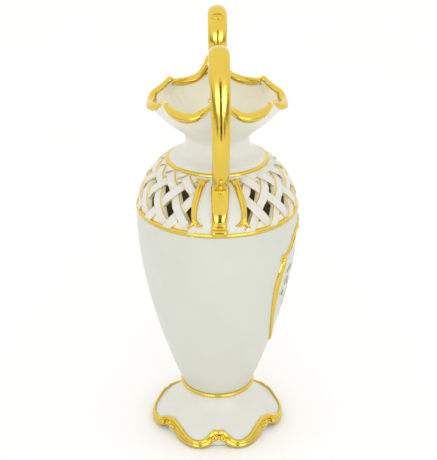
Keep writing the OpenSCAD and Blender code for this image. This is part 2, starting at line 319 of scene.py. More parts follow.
def moulding(build, path, normals, widths, heights, profile=None, round_ends=True):
    """A moulding along a path on a surface. profile is a list of (across, out) pairs from -1 to 1 and
    from 0 to 1, and it is scaled by half the width and by the height at each point of the path. Two
    widths or two heights stand for an even change from the first to the second."""
    path = np.asarray(path, float)
    widths, heights = [np.linspace(*v, len(path)) if len(v) == 2 else v for v in (widths, heights)]
    ahead = unit(np.gradient(path, axis=0))
    out = np.asarray(normals, float)
    out = unit(out - ahead * np.sum(out * ahead, axis=1, keepdims=True))
    across = np.cross(ahead, out)
    sections = []
    for p, o, c, w, h in zip(path, out, across, widths, heights):
        sections.append([p + c * x * w / 2 + o * y * h for x, y in profile or ROUND])
    if round_ends:
        sections = [*end_rings(path[0], -ahead[0], sections[0], widths[0])[::-1], *sections,
                    *end_rings(path[-1], ahead[-1], sections[-1], widths[-1])]
    build.loft(sections)


def end_rings(centre, outward, section, width, steps=4):
    """Shrinking copies of a section, which close a moulding with a round end."""
    rings = []
    for k in range(1, steps + 1):
        a = PI / 2 * k / (steps + 0.4)
        rings.append([centre + outward * width / 2 * math.sin(a) + (p - centre) * math.cos(a)
                      for p in section])
    return rings


def sphere_axes(out):
    """Three perpendicular directions, the last of them out."""
    side = unit(np.cross(out, vec(0.3, 0.2, 1)))
    return [side, np.cross(out, side), np.asarray(out, float)]


def tube(build, path, out, widths, sides=14):
    """A round tube along a path, with round ends. out is a direction square to the path."""
    profile = [(math.cos(2 * PI * k / sides), math.sin(2 * PI * k / sides) / 2) for k in range(sides)]
    moulding(build, path, [out] * len(path), widths, widths, profile)


def arch(points=10, power=1.0, valley=0.0, sunk=0.15):
    """A rounded profile that goes a little way into the surface under it. A power below 1 squares its
    shoulders. A valley leaves a low bead along its inner edge and a higher one along its outer edge."""
    profile = []
    for k in range(points + 1):
        a = PI * k / points
        x = math.copysign(abs(math.cos(a)) ** power, math.cos(a))
        profile.append((x, math.sin(a) ** power * (1 - valley * bell(x + 0.15, 0.25))))
    return [*profile, (-0.9, -sunk), (0.9, -sunk)]


ROUND = arch()
SCOTIA = arch(16, valley=0.34)
PILLOW = arch(18, power=0.8, sunk=0.3)


def shell_moulding(build, route, lift, widths, heights, profile=None, round_ends=True):
    """A moulding along a route of (angle, height) pairs, at a distance from the shell."""
    path = [shell_point(a, z, lift) for a, z in route]
    moulding(build, path, [shell_normal(a, z) for a, z in route], widths, heights, profile, round_ends)


# ---- Materials ----


def new_material(name):
    material = bpy.data.materials.new(name)
    material.use_nodes = True
    tree = material.node_tree
    return material, tree, tree.nodes["Principled BSDF"]


def set_inputs(node, values):
    for name, value in values.items():
        node.inputs[name].default_value = value


def noise(tree, scale, detail=3.0, roughness=0.5):
    """A noise texture in object space, with scale in cells per metre."""
    place = tree.nodes.new("ShaderNodeTexCoord")
    texture = tree.nodes.new("ShaderNodeTexNoise")
    set_inputs(texture, {"Scale": scale, "Detail": detail, "Roughness": roughness})
    tree.links.new(place.outputs["Object"], texture.inputs["Vector"])
    return texture.outputs["Fac"]


def tint(tree, shader, factor, deep, pale):
    """Colours a surface with a cloudy mix of two tones."""
    node = tree.nodes.new("ShaderNodeValToRGB")
    for element, position, tone in zip(node.color_ramp.elements, (0.3, 0.7), (deep, pale)):
        element.position = position
        element.color = (*tone, 1.0)
    tree.links.new(factor, node.inputs["Fac"])
    tree.links.new(node.outputs["Color"], shader.inputs["Base Color"])


def span(tree, factor, low, high):
    """Maps a noise factor from 0.3..0.7 to low..high."""
    node = tree.nodes.new("ShaderNodeMapRange")
    set_inputs(node, {"From Min": 0.3, "From Max": 0.7, "To Min": low, "To Max": high})
    tree.links.new(factor, node.inputs["Value"])
    return node.outputs["Result"]


def bump(tree, shader, factor, distance, strength):
    node = tree.nodes.new("ShaderNodeBump")
    set_inputs(node, {"Distance": distance, "Strength": strength})
    tree.links.new(factor, node.inputs["Height"])
    tree.links.new(node.outputs["Normal"], shader.inputs["Normal"])


def glaze_material(name, pale, deep, roughness, coat):
    """Glazed porcelain: a faint cloudiness in the body colour, under a clear glassy coat."""
    material, tree, shader = new_material(name)
    tint(tree, shader, noise(tree, 22.0, 4.0, 0.55), deep, pale)
    tree.links.new(span(tree, noise(tree, 60.0), roughness * 0.85, roughness * 1.2),
                   shader.inputs["Roughness"])
    set_inputs(shader, {"IOR": 1.5, "Coat Weight": coat, "Coat Roughness": 0.25,
                        "Subsurface Weight": 0.12, "Subsurface Radius": (0.004, 0.0035, 0.003),
                        "Subsurface Scale": 0.6})
    bump(tree, shader, noise(tree, 140.0, 2.0), 0.0002, 0.10)
    return material


def gold_material(name, pale, deep, roughness):
    """Burnished gilding: a metal film with brushed-on variation in tone and polish."""
    material, tree, shader = new_material(name)
    tint(tree, shader, noise(tree, 90.0, 5.0, 0.6), deep, pale)
    shader.inputs["Metallic"].default_value = 1.0
    tree.links.new(span(tree, noise(tree, 160.0, 4.0), roughness * 0.8, roughness * 1.25),
                   shader.inputs["Roughness"])
    bump(tree, shader, noise(tree, 420.0, 3.0), 0.0003, 0.12)
    return material


def bisque_material():
    """Unglazed, ground porcelain: matt and finely grained."""
    material, tree, shader = new_material("bisque")
    tint(tree, shader, noise(tree, 500.0, 6.0, 0.7), (0.66, 0.63, 0.56), (0.78, 0.76, 0.70))
    shader.inputs["Roughness"].default_value = 0.85
    bump(tree, shader, noise(tree, 1500.0, 4.0), 0.0002, 0.4)
    return material


def enamel_material(name, pale, deep):
    """Painted overglaze enamel: brushed colour with a soft gloss."""
    material, tree, shader = new_material(name)
    tint(tree, shader, noise(tree, 260.0, 4.0, 0.6), deep, pale)
    set_inputs(shader, {"Roughness": 0.3, "Coat Weight": 0.3})
    return material


porcelain = glaze_material("porcelain_glaze", (0.63, 0.642, 0.575), (0.60, 0.612, 0.545), 0.42, 0.2)
# Collar, neck and outside of the mouth: the body's porcelain painted paler, as painted light that offsets
# the shade under the mouth
neck_glaze_painted_bright = glaze_material("neck_glaze_painted_bright", (0.745, 0.74, 0.675), (0.715, 0.71, 0.645), 0.42, 0.2)
# A paler copy of the body glaze, on the foot and the handle panels
paler_glaze = glaze_material("paler_glaze", (0.69, 0.695, 0.63), (0.66, 0.665, 0.60), 0.42, 0.2)
strip_glaze = glaze_material("strip_glaze", (0.71, 0.70, 0.665), (0.67, 0.66, 0.625), 0.4, 0.2)
# Inside of the mouth and neck: painted light, a paler cream than the body that offsets the shade inside the
# mouth
inner_glaze_painted_bright = glaze_material("inner_glaze_painted_bright", (0.84, 0.81, 0.67), (0.80, 0.77, 0.63), 0.5, 0.1)
# Side walls of the lattice strips and the sills: painted light, a warm cream that stands in for light thrown
# off the gilding into the shaded openings
side_glaze_painted_bounce = glaze_material("side_glaze_painted_bounce", (0.84, 0.80, 0.63), (0.79, 0.74, 0.56), 0.5, 0.1)
# Inside of the body, seen through the lattice: painted shade, a dark olive brown that stands in for the dim
# light in the closed body
well_glaze_painted_shade = glaze_material("well_glaze_painted_shade", (0.50, 0.43, 0.25), (0.44, 0.37, 0.20), 0.5, 0.1)
gilding = gold_material("gilding", (0.75, 0.555, 0.09), (0.74, 0.53, 0.08), 0.15)
line_gold = gold_material("line_gold", (0.80, 0.68, 0.27), (0.72, 0.58, 0.19), 0.35)
bisque = bisque_material()
rose_enamel = enamel_material("rose_enamel", (0.62, 0.30, 0.27), (0.42, 0.13, 0.13))
blue_enamel = enamel_material("grey_violet_enamel", (0.38, 0.35, 0.46), (0.22, 0.20, 0.32))
leaf_enamel = enamel_material("leaf_enamel", (0.24, 0.25, 0.14), (0.12, 0.13, 0.07))
heart_enamel = enamel_material("heart_enamel", (0.62, 0.42, 0.10), (0.45, 0.26, 0.05))


# ---- Foot ----

# Edges of the gilded moulding round a quarter of the foot, as (angle from a handle, radius, height).
# The clefts are at 0 and 60, and the lobe between them leans towards the handle.
MOULDING_TOP = smooth_curve([(-3, 48.5, 16.3), (0, 48.1, 15.4), (3, 48.5, 16.3), (5.5, 49.2, 16.4),
                             (8.5, 49.6, 14.0), (12, 51.6, 10.6), (15, 54.0, 8.9), (19, 56.0, 8.2),
                             (24, 56.4, 8.6), (31, 54.6, 10.2), (40, 51.4, 12.8), (48, 49.4, 14.8),
                             (54, 48.8, 16.2), (57, 49.2, 16.2), (60, 49.8, 15.2), (63, 51.2, 15.8),
                             (66, 53.2, 14.6), (69, 55.0, 12.8), (73, 56.6, 11.2), (78, 57.8, 10.0),
                             (84, 58.4, 9.2), (90, 58.6, 9.0), (96, 58.4, 9.2)])
MOULDING_LOW = smooth_curve([(-3, 51.2, 6.2), (0, 50.8, 7.4), (3, 51.2, 6.2), (6.5, 52.0, 4.0),
                             (9, 53.6, 2.1), (12, 55.2, 1.4), (17.5, 57.4, 1.2), (24, 58.0, 1.2),
                             (31.5, 57.0, 1.2), (38, 55.2, 1.4), (43, 53.8, 1.9), (48, 52.6, 3.0),
                             (52, 52.2, 4.4), (56, 52.2, 5.8), (60, 52.8, 6.8), (63, 53.8, 5.8),
                             (66, 55.2, 4.2), (70, 56.8, 2.6), (75, 58.4, 1.5), (80, 59.2, 1.2),
                             (90, 59.8, 1.2), (96, 59.6, 1.2)])
BACK_R = 58.0
BASE_R = 50.8


def moulding_edge(table, angle):
    """A moulding edge (radius, height) all the way round: its clefts are shallower on the right."""
    phi = abs((angle % 360) - 180)
    edge = follow(table, phi if phi < 90 else 180 - phi)
    return vec(mix(edge[0], BACK_R, 0.5 * smooth((phi - 90) / 25)), edge[1])


def bell_line(angle, steps=28):
    """Points (radius, height) down the bell of the foot, from the waist to the moulding."""
    edge = vec(52.0, 11.0)
    tuck = mix(moulding_edge(MOULDING_TOP, angle), moulding_edge(MOULDING_LOW, angle), 0.25) - edge
    shape = [vec(WAIST_R, FOOT_H), vec(mix(WAIST_R, edge[0], 0.10), 25),
             vec(mix(WAIST_R, edge[0], 0.62), 21.5), edge]
    return [bezier(shape, k / steps) + tuck * (k / steps) ** 6 for k in range(steps + 1)]


def build_foot():
    build = Build()
    steps = 480
    sections = []
    for i in range(steps):
        angle = i * 360 / steps
        outside = bell_line(angle)
        base = bezier([outside[-1], vec(BASE_R - 1.5, 8), vec(BASE_R, 6)], 0.6)
        under = [base, vec(BASE_R, 5), vec(BASE_R + 0.1, 2.2), vec(BASE_R - 0.2, 1.0),
                 vec(BASE_R - 1.2, 0.5), vec(FOOTRING_R + 1.5, 0.6), vec(FOOTRING_R, 1.2),
                 vec(FOOTRING_R, FOOTRING_H)]
        inside = [bezier([vec(FOOTRING_R, FOOTRING_H), vec(FOOTRING_R - 6, 24), vec(22, FOOT_H)],
                         k / 10) for k in range(1, 11)]
        sections.append([in_plane(p, angle) for p in [*outside, *under, *inside]])
    build.loft(sections, closed=True)
    build.piece("foot_pedestal", [paler_glaze], "porcelain", ["foot"])


def build_footring():
    build = Build()
    inner = FOOTRING_R - 7
    revolve(build, rounded([(inner, 0), (FOOTRING_R, 0), (FOOTRING_R, FOOTRING_H),
                            (inner, FOOTRING_H)], 1.2))
    build.piece("footring_bisque", [bisque], "bisque", ["footring"])


def moulding_profile(angle):
    """Section of the foot's moulding: two ridges with a valley, deeper in the clefts."""
    top, low = moulding_edge(MOULDING_TOP, angle), moulding_edge(MOULDING_LOW, angle)
    delta = from_cleft(angle)
    down = low - top
    out = unit(vec(-down[1], down[0]))
    valley = 0.7 + 1.5 * (1 - smooth(delta / 11)) * smooth(delta / 2.5 + 0.25)
    points = []
    for k in range(31):
        s = k / 30
        rise = 2.1 * max(0.0, math.sin(PI * s)) ** 0.5 - valley * bell(s - 0.55, 0.14)
        points.append(top + down * s + out * rise)
    return [*points, low + vec(-2.2, 0.6), top + vec(-1.6, -2.2)]


def build_foot_scrolls():
    build = Build()
    steps = 720
    build.loft([[in_plane(p, i * 360 / steps) for p in moulding_profile(i * 360 / steps)]
                for i in range(steps)], closed=True)
    build.piece("foot_scroll_mouldings", [gilding], "gilding", ["foot_scrolls"])


def volute_path(cleft, hand):
    """A small spiral under one of the two humps at a cleft: points, and the way out from them."""
    centre_angle = cleft + hand * (4.6 if cleft % 180 == 0 else 6.0)
    a = math.radians(centre_angle)
    er, et = vec(math.cos(a), math.sin(a), 0), vec(-math.sin(a), math.cos(a), 0)
    out = unit(er + et * hand * 0.35 + vec(0, 0, 0.35))
    up = unit(vec(0, 0, 1) - out * out[2])
    inward = np.cross(up, out) * -hand
    top, low = moulding_edge(MOULDING_TOP, centre_angle), moulding_edge(MOULDING_LOW, centre_angle)
    centre = in_plane(mix(top, low, 0.68) + vec(0.3, 0), centre_angle)
    points = []
    for k in range(41):
        t = k / 40
        turn = math.radians(mix(-60, 330, t))
        reach = mix(2.8, 0.7, t ** 0.9)
        points.append(centre + (up * math.cos(turn) + inward * math.sin(turn)) * reach
                      + out * mix(0.9, 1.9, t))
    return points, out


def build_volutes():
    build = Build()
    for cleft in range(0, 360, 60):
        for hand in (-1, 1):
            path, out = volute_path(cleft, hand)
            widths = [mix(2.4, 1.8, k / 40) for k in range(41)]
            tube(build, path, out, widths)
            build.ball(path[-1] + out * 0.1, (1.2, 1.2, 1.1), sphere_axes(out))
    build.piece("foot_volute_curls", [gilding], "gilding", ["foot_volutes"])


# ---- Body and rings ----


def build_body():
    build = Build()
    floor_z = BODY_LOW_Z + 6
    heights = np.linspace(BODY_LOW_Z, BODY_TOP_Z, 90)
    outside = [(shell_r(z), z) for z in heights]
    inside = [(max(shell_r(z) - WALL_T, 3.0), z) for z in heights[::-1] if z > floor_z]
    bottom = [(0.01, floor_z), (0.01, BODY_LOW_Z)]
    # The inside of the body (slot 1) takes the dark well glaze, which is painted shade
    slots = [0] * len(outside) + [1] * len(inside) + [0, 0]
    revolve(build, [*outside, *inside, *bottom], slots)
    build.piece("body_shell", [porcelain, well_glaze_painted_shade], "porcelain", ["body"])


def build_ring(name, node, outline):
    build = Build()
    revolve(build, outline)
    build.piece(name, [gilding], "gilding", [node])


def bead(r, z, size):
    """The round front of a ring on the shoulder, which faces square out from the shell."""
    up = unit(vec(-shell_slope(z), 1))
    out = vec(up[1], -up[0])
    return [vec(r, z) + size * (out * math.cos(a) + up * math.sin(a)) for a in np.linspace(-1.35, 1.35, 13)]


def build_rings():
    middle, back = (BODY_TOP_Z + LATTICE_LOW_Z) / 2, BODY_R - 6.5
    build_ring("lower_ring_bead", "lower_shoulder_ring",
               [*bead(BODY_R - 1.7, middle, 2.3), vec(BODY_R - 3, LATTICE_LOW_Z),
                vec(back, LATTICE_LOW_Z), vec(back, BODY_TOP_Z), vec(BODY_R - 2, BODY_TOP_Z)])
    edge, top_z, back = shell_r(LATTICE_TOP_Z), COLLAR_LOW_Z - 2.2, 34
    build_ring("upper_ring_bead", "upper_shoulder_ring",
               [*bead(UPPER_RING_R - 2, LATTICE_TOP_Z + 0.3, 1.9), vec(UPPER_RING_R - 4.5, top_z),
                vec(back, top_z), vec(back, LATTICE_TOP_Z), vec(edge - 3, LATTICE_TOP_Z - 1.2),
                vec(edge - 1.2, LATTICE_TOP_Z - 0.8)])
    half = (BODY_LOW_Z - FOOT_H) / 2
    front = [vec(WAIST_RING_R - half + half * math.cos(a), FOOT_H + half + half * math.sin(a))
             for a in np.linspace(-PI / 2, PI / 2, 17)]
    build_ring("waist_band", "waist_ring", [*front, vec(22, BODY_LOW_Z), vec(22, FOOT_H)])


# ---- Woven lattice ----


STRIP_W = 7.8
WALL_DEPTH = 5.2
WEAVE_DEPTH = 1.7
GOLD_LINE_W = 0.55
STEP_ANGLE = 2 * PI / CELLS
U_PANEL = PANEL_HALF_ANGLE / 360 * CELLS


def step_len(v):
    """Length of half a cell round the vase at row v."""
    return STEP_ANGLE * shell_r(row_z(v))


def row_len(v):
    """Length of a row down the shoulder at row v."""
    return (ROW_STEP + 2 * ROW_GROWTH * v) * level_t(row_z(v))


def strip_half_u(v):
    """Half a strip's width, measured level and in half cells."""
    return STRIP_W / 2 / math.sin(math.atan(row_len(v) / step_len(v))) / step_len(v)


def edge_row(c, lean, edge, u_end):
    """Row at which one edge of a strip reaches u_end."""
    v = 1.5
    for _ in range(6):
        v = min(3.5, max(-1.2, lean * (c + edge * strip_half_u(v) - u_end)))
    return v


def over(v, lean):
    """1 where a strip goes over, 0 where it goes under."""
    return 0.5 - 0.5 * lean * math.tanh(2.2 * math.cos(PI * v)) / math.tanh(2.2)


def strip_profile():
    """Points across a strip (place from -1 to 1, depth below the face) and the material of each side."""
    line = 1 - 2 * GOLD_LINE_W / STRIP_W
    gold, white, side = 1, 0, 2
    face = [(-1.0, 0.95), (-0.995, 0.35), (-0.95, 0.08), (-line, 0.0), (-line + 0.02, 0.06),
            (-0.4, 0.0), (0.4, 0.0), (line - 0.02, 0.06), (line, 0.0), (0.95, 0.08), (0.995, 0.35),
            (1.0, 0.95)]
    return [*face, (1.0, None), (-1.0, None)], [gold] * 3 + [white] * 5 + [gold] * 3 + [side] * 3


def strip_section(c, lean, rows, profile):
    points = []
    for across, depth in profile:
        v = mix(rows[0], rows[1], (across + 1) / 2)
        half = strip_half_u(v)
        lead = step_len(v) ** 2 / (step_len(v) ** 2 + row_len(v) ** 2)
        z = row_z(v)
        u = c - lean * v + across * half
        sunk = WEAVE_DEPTH * (1 - over(v - lean * across * lead * half, lean))
        deep = WALL_DEPTH if depth is None else sunk + depth
        points.append(polar(shell_r(z) - level_t(z) * (deep - 0.4), u * 360 / CELLS, z))
    return points


def build_lattice(name, node, lean, u_from):
    """The strips that lean one way, on one face. u counts steps of 360 / CELLS degrees from the right
    handle, v counts rows from the top, and u + lean * v is the same number all along a strip."""
    build = Build()
    u_to = u_from + CELLS / 2 - 2 * U_PANEL
    v_top, v_low = row_v(LATTICE_TOP_Z), row_v(LATTICE_LOW_Z) + 0.02
    profile, slots = strip_profile()
    first = 2 * math.floor((u_from - 6) / 2) + 1
    for c in range(first, int(u_to) + 6, 2):
        starts = [max(v_top, edge_row(c, lean, e, u_to if lean > 0 else u_from)) for e in (-1, 1)]
        ends = [min(v_low, edge_row(c, lean, e, u_from if lean > 0 else u_to)) for e in (-1, 1)]
        lengths = [b - a for a, b in zip(starts, ends)]
        if max(lengths) < 0.15:
            continue
        ends = [max(b, a + 0.02) for a, b in zip(starts, ends)]
        count = max(3, math.ceil(max(lengths) / 0.05))
        build.loft([strip_section(c, lean, [mix(a, b, i / count) for a, b in zip(starts, ends)],
                                  profile) for i in range(count + 1)], side_slots=slots, cap_slot=2)
    # The strips' sides and ends take the cream side glaze, which is painted light from the gilding
    build.piece(name, [strip_glaze, line_gold, side_glaze_painted_bounce], "porcelain", [node], sharp=40)


def build_sills():
    """Porcelain sills inside the two shoulder rings, which the strips are luted to."""
    for name, low, top, depth in (("lower_sill", LATTICE_LOW_Z, 226.8, 1.5),
                                  ("upper_sill", 254.6, LATTICE_TOP_Z, 2.2)):
        build = Build()
        heights = np.linspace(low, top, 8)
        outline = [(shell_r(z) - depth * level_t(z), z) for z in heights]
        outline += [(shell_r(z) - WALL_DEPTH * level_t(z), z) for z in heights[::-1]]
        revolve(build, rounded(outline, 0.5, 3))
        # The sills take the same cream side glaze, which is painted light
        build.piece(name, [side_glaze_painted_bounce], "porcelain")


def build_lattices():
    for face, u_from in (("back", U_PANEL), ("front", CELLS / 2 + U_PANEL)):
        for way, lean in (("rising", 1), ("falling", -1)):
            build_lattice(f"strips_{face}_{way}", f"lattice_{face}_{way}", lean, u_from)
    build_sills()


# ---- Handle panels and their scrolls ----


def build_panel(side, centre):
    build = Build()
    heights = np.linspace(LATTICE_LOW_Z, LATTICE_TOP_Z, 24)
    outline = [(shell_r(z), z) for z in heights]
    outline += [(shell_r(z) - WALL_T * level_t(z), z) for z in heights[::-1]]
    steps = 30
    build.loft([[in_plane(p, centre + mix(-PANEL_HALF_ANGLE, PANEL_HALF_ANGLE, i / steps))
                 for p in outline] for i in range(steps + 1)])
    build.piece(f"panel_{side}", [paler_glaze], "porcelain", [f"handle_panel_{side}"])


# Middle line of a scroll beside a panel: (angle from the panel's middle, height), top to bottom
PANEL_SCROLL = [(15.6, 257.8), (16.5, 255.0), (17.3, 251.4), (18.1, 246.0), (18.4, 239.6),
                (18.1, 234.4), (17.3, 231.0), (15.8, 228.8), (13.8, 227.6), (12.0, 227.4)]


def build_panel_scrolls(side, centre):
    build = Build()
    for hand in (-1, 1):
        route = [(centre + hand * p[0], p[1]) for p in smooth_curve(PANEL_SCROLL, 6)]
        count = len(route)
        widths, heights = [], []
        for k in range(count):
            end = smooth(4 * k / count - 2.9)
            widths.append(mix(5.8, 4.5, smooth(1.8 * k / count - 0.3)) * mix(1, 0.42, end))
            heights.append(mix(2.8, 2.4, k / count) * mix(1, 0.6, end))
        shell_moulding(build, route, 0.2, widths, heights, SCOTIA)
        for turn, rise in ((-1, 2.4), (1, 2.2)):
            arm = [(centre + hand * (15.8 + turn * 5.6 * t), 257.2 + rise * t ** 1.4)
                   for t in np.linspace(0, 1, 13)]
            shell_moulding(build, arm, 0.2, (3.6, 1.8), (2.2, 1.3))
        foot = [(centre + hand * mix(18.2, 21.2, t), mix(229.8, 225.0, t ** 0.7))
                for t in np.linspace(0, 1, 13)]
        shell_moulding(build, foot, 0.0, (3.4, 2.2), (1.7, 1.5))
    build.piece(f"panel_scroll_pair_{side}", [gilding], "gilding", [f"panel_scrolls_{side}"])


# ---- Collar, neck and mouth ----

# Middle of the rolled lip, as (radius, height), in the clefts and in the middle of the lobes. The
# angles are counted both ways from the left handle. The mouth is folded by hand, a little unevenly,
# and it rises by ROOT_RISE to each handle.
ROOT_RISE = 8.5
LIP_CLEFTS = {0: (48.0, 320.0), 60: (50.0, 319.0), 120: (44.2, 326.0), 180: (48.0, 320.6)}
LIP_LOBES = {30: (53.0, 314.0), 90: (55.6, 310.4), 150: (53.0, 315.2)}
MEAN_LIP = vec(51.0, 314.0)
MOUTH_EDGE_T = 2.6
LIP_HALF_W = 4.2
LIP_HALF_T = 3.7


def root_wave(angle):
    """1 at the handles, falling to 0 a little way from them."""
    return math.exp(-(math.sin(math.radians(angle)) * 4.1) ** 2)


def lip_point(angle):
    """Middle of the rolled lip (radius, height). The lobes bulge beside the far folds, at 120, and
    step down a little behind them."""
    phi = abs((angle % 360) - 180)
    cleft = min(LIP_CLEFTS, key=lambda k: abs(k - phi))
    lobe = min(LIP_LOBES, key=lambda k: abs(k - phi))
    wave = lobe_wave(angle)
    if 90 < phi < 120:
        wave = mix(wave, wave ** 0.56, smooth((phi - 90) / 8))
    if cleft == 120:
        wave = math.hypot(wave, 0.08)
    point = mix(vec(*LIP_CLEFTS[cleft]), vec(*LIP_LOBES[lobe]), wave)
    near_fold = smooth(1 - from_cleft(angle) / 6) if cleft == 60 else 0
    step = vec(0, 2.6) * bell(phi - 126.5, 4.0)
    bulge = vec(2.4, 1.0) * bell(phi - 107, 8)
    return point + bulge + vec(-1.2, 0.8) * near_fold - step + vec(-1.6, ROOT_RISE) * root_wave(angle)


def mouth_line(angle, t):
    """Middle of the mouth's wall, from the neck (0) to the lip (1). The folds in the lip fade out
    quickly on the way down."""
    lip = lip_point(angle)
    soft = np.mean([lip_point(angle + k) for k in (-18, -9, 0, 9, 18)], axis=0)
    flare = bezier([vec(NECK_R - WALL_T / 2, NECK_TOP_Z), vec(NECK_R - 1.8, 290), vec(51.5, 299.4),
                    MEAN_LIP], t)
    return flare + (soft - MEAN_LIP) * t ** 3 + (lip - soft) * t ** 14


def mouth_side(angle, t, side):
    """A point on the outer (side 1) or inner (side -1) face of the mouth's wall."""
    along = unit(mouth_line(angle, t + 0.01) - mouth_line(angle, t - 0.01))
    across = vec(along[1], -along[0])
    across = unit(mix(vec(1, 0), across, smooth(t * 4)))
    return mouth_line(angle, t) + side * across * mix(WALL_T, MOUTH_EDGE_T, t) / 2


def build_neck():
    """Collar, neck and mouth in one piece: up the outside, over the edge and down the inside."""
    build = Build()
    steps = 360
    cove = [bezier([vec(UPPER_RING_R - 2.1, COLLAR_LOW_Z - 3), vec(UPPER_RING_R - 2.4, COLLAR_LOW_Z + 2.6),
                    vec(NECK_R + 2.8, COLLAR_LOW_Z + 1.3), vec(NECK_R - 0.4, COLLAR_LOW_Z + 5.8),
                    vec(NECK_R, NECK_TOP_Z)], k / 24) for k in range(25)]
    inner_low = [bezier([vec(NECK_R - WALL_T, NECK_TOP_Z), vec(NECK_R - WALL_T, COLLAR_LOW_Z + 8),
                         vec(34, COLLAR_LOW_Z)], k / 10) for k in range(1, 11)]
    sections = []
    for i in range(steps):
        angle = i * 360 / steps
        outer = [mouth_side(angle, k / 26, 1) for k in range(1, 27)]
        inner = [mouth_side(angle, k / 26, -1) for k in range(26, -1, -1)]
        sections.append([in_plane(p, angle) for p in [*cove, *outer, *inner, *inner_low]])
    outer_count, inner_count = len(cove) + len(outer), len(inner) + len(inner_low)
    # Slot 1, the inner glaze of the mouth, is painted light: paler and creamier than the body
    slots = [0] * (outer_count - 1) + [1] * inner_count + [0]
    build.loft(sections, closed=True, side_slots=slots)
    # The outside takes the paler neck glaze, which is painted light
    build.piece("neck_and_mouth", [neck_glaze_painted_bright, inner_glaze_painted_bright], "porcelain", ["collar", "mouth"])


def lip_section(angle, size):
    """Section of the rolled lip: an oval with a narrow groove low on its outer side."""
    along = unit(lip_point(angle) - mouth_line(angle, 0.86))
    across = vec(along[1], -along[0])
    centre = lip_point(angle) - along * 0.8 + across * 0.5
    points = []
    for k in range(32):
        a = 2 * PI * k / 32
        groove = 1 - 0.17 * bell(math.remainder(a + 0.35, 2 * PI), 0.28)
        points.append(centre + size * groove * (across * LIP_HALF_W * math.cos(a)
                                                + along * LIP_HALF_T * math.sin(a)))
    return points


def build_lip(name, node, first):
    """The rolls of the lip on one side of the handles. The folds near the left handle part them."""
    build = Build()
    parted = 120 if first == 0 else 240
    gap = 0.8
    for start, end in ((first - 0.9, parted - gap), (parted + gap, first + 180.9)):
        sections = []
        steps = round(2 * (end - start))
        for i in range(steps + 1):
            angle = mix(start, end, i / steps)
            size = mix(0.56, 1.06, smooth(from_cleft(angle) / 24))
            size *= mix(0.2, 1.0, min(1.0, min(angle - start, end - angle) / 2.6) ** 0.6)
            sections.append([in_plane(p, angle) for p in lip_section(angle, size)])
        build.loft(sections)
    build.piece(name, [gilding], "gilding", [node])


# ---- Handles ----


HANDLE_W = 16.6
HANDLE_T = 12.4
LOOP_TOP_X = 64.0
LOOP_OUT_X = 81.4
LOOP_OUT_Z = 308.0
LOOP_LOW_W = 13.6
LOOP_LOW_T = 9.6
LANDING_Z = 253.0
STRAP_TOP_Z = 258.6
STRAP_LOW_Z = 225.6
STRAP_TOP_W = 15.4
STRAP_LOW_W = 12.4
STRAP_T = 3.2
STRAP_ROLL_W = 5.8
# Place of the ornament on a loop, counted along the loop as loop_line does
CROWN_T = 0.70
# Sideways lean of the loops, which are set on by hand
LEAN_LEFT = -1.1
LEAN_RIGHT = -1.3


def loop_line(t):
    """Centre line of a loop, as (distance from the axis, height), from the mouth (0) to the
    shoulder (3)."""
    top = TOTAL_H - HANDLE_T / 2
    root = lip_point(0) + vec(0.8, -1.2)
    landing = unit(vec(1, shell_slope(LANDING_Z)))
    end = vec(shell_r(LANDING_Z), LANDING_Z) - landing * 1.5
    if t < 1:
        return bezier([root, vec(root[0] - 0.8, top - 25), vec(root[0] - 0.8, top - 5),
                       vec(LOOP_TOP_X - 14, top), vec(LOOP_TOP_X, top)], t)
    if t < 2:
        return bezier([vec(LOOP_TOP_X, top), vec(LOOP_TOP_X + 12, top), vec(LOOP_OUT_X, LOOP_OUT_Z + 23),
                       vec(LOOP_OUT_X, LOOP_OUT_Z)], t - 1)
    return bezier([vec(LOOP_OUT_X, LOOP_OUT_Z), vec(LOOP_OUT_X, LOOP_OUT_Z - 24), end + landing * 14,
                   end], t - 2)


def loop_ahead(t):
    return unit(loop_line(min(t + 0.01, 3.0)) - loop_line(max(t - 0.01, 0.0)))


def loop_lean(sign, t):
    return LEAN_RIGHT if sign > 0 else LEAN_LEFT * smooth(t - 1)


def loop_point(sign, t, out, side):
    """A point beside the centre line: out is away from the loop's inside, side is level."""
    here, ahead = loop_line(t), loop_ahead(t)
    return vec(sign * (here[0] - ahead[1] * out), sign * side + loop_lean(sign, t), here[1] + ahead[0] * out)


def loop_size(t):
    """Width and thickness of a loop, which is slimmer at the lip and at the shoulder."""
    root = smooth(t / 0.34)
    taper = smooth((t - 0.8) / 1.9)
    tongue = smooth((t - 2.56) / 0.44)
    width = mix(HANDLE_W, LOOP_LOW_W, taper) * mix(0.74, 1, root) * mix(1, 0.7, tongue)
    return width, mix(HANDLE_T, LOOP_LOW_T, taper) * mix(0.6, 1, root) * mix(1, 0.75, tongue)


def build_handle(side, sign):
    build = Build()
    turns = [-2 * PI * k / 36 for k in range(36)]
    sections = []
    for t in np.linspace(0, 3, 151):
        width, thick = loop_size(t)
        sections.append([loop_point(sign, t, thick / 2 * math.sin(a), width / 2 * math.cos(a))
                         for a in turns])
    build.loft(sections)
    for hand in (-1, 1):
        build_root_leaf(build, sign, hand)
    build_crown(build, sign)
    build.piece(f"loop_{side}", [gilding], "gilding", [f"handle_{side}"])


def crown_spot(sign, x, y):
    """A point on the back of a loop near its top: x across and y along, in millimetres."""
    ahead = loop_ahead(CROWN_T)
    out = HANDLE_T / 2 * math.sqrt(1 - (2 * x / HANDLE_W) ** 2)
    return loop_point(sign, CROWN_T, out, x) + vec(sign * ahead[0], 0, ahead[1]) * y


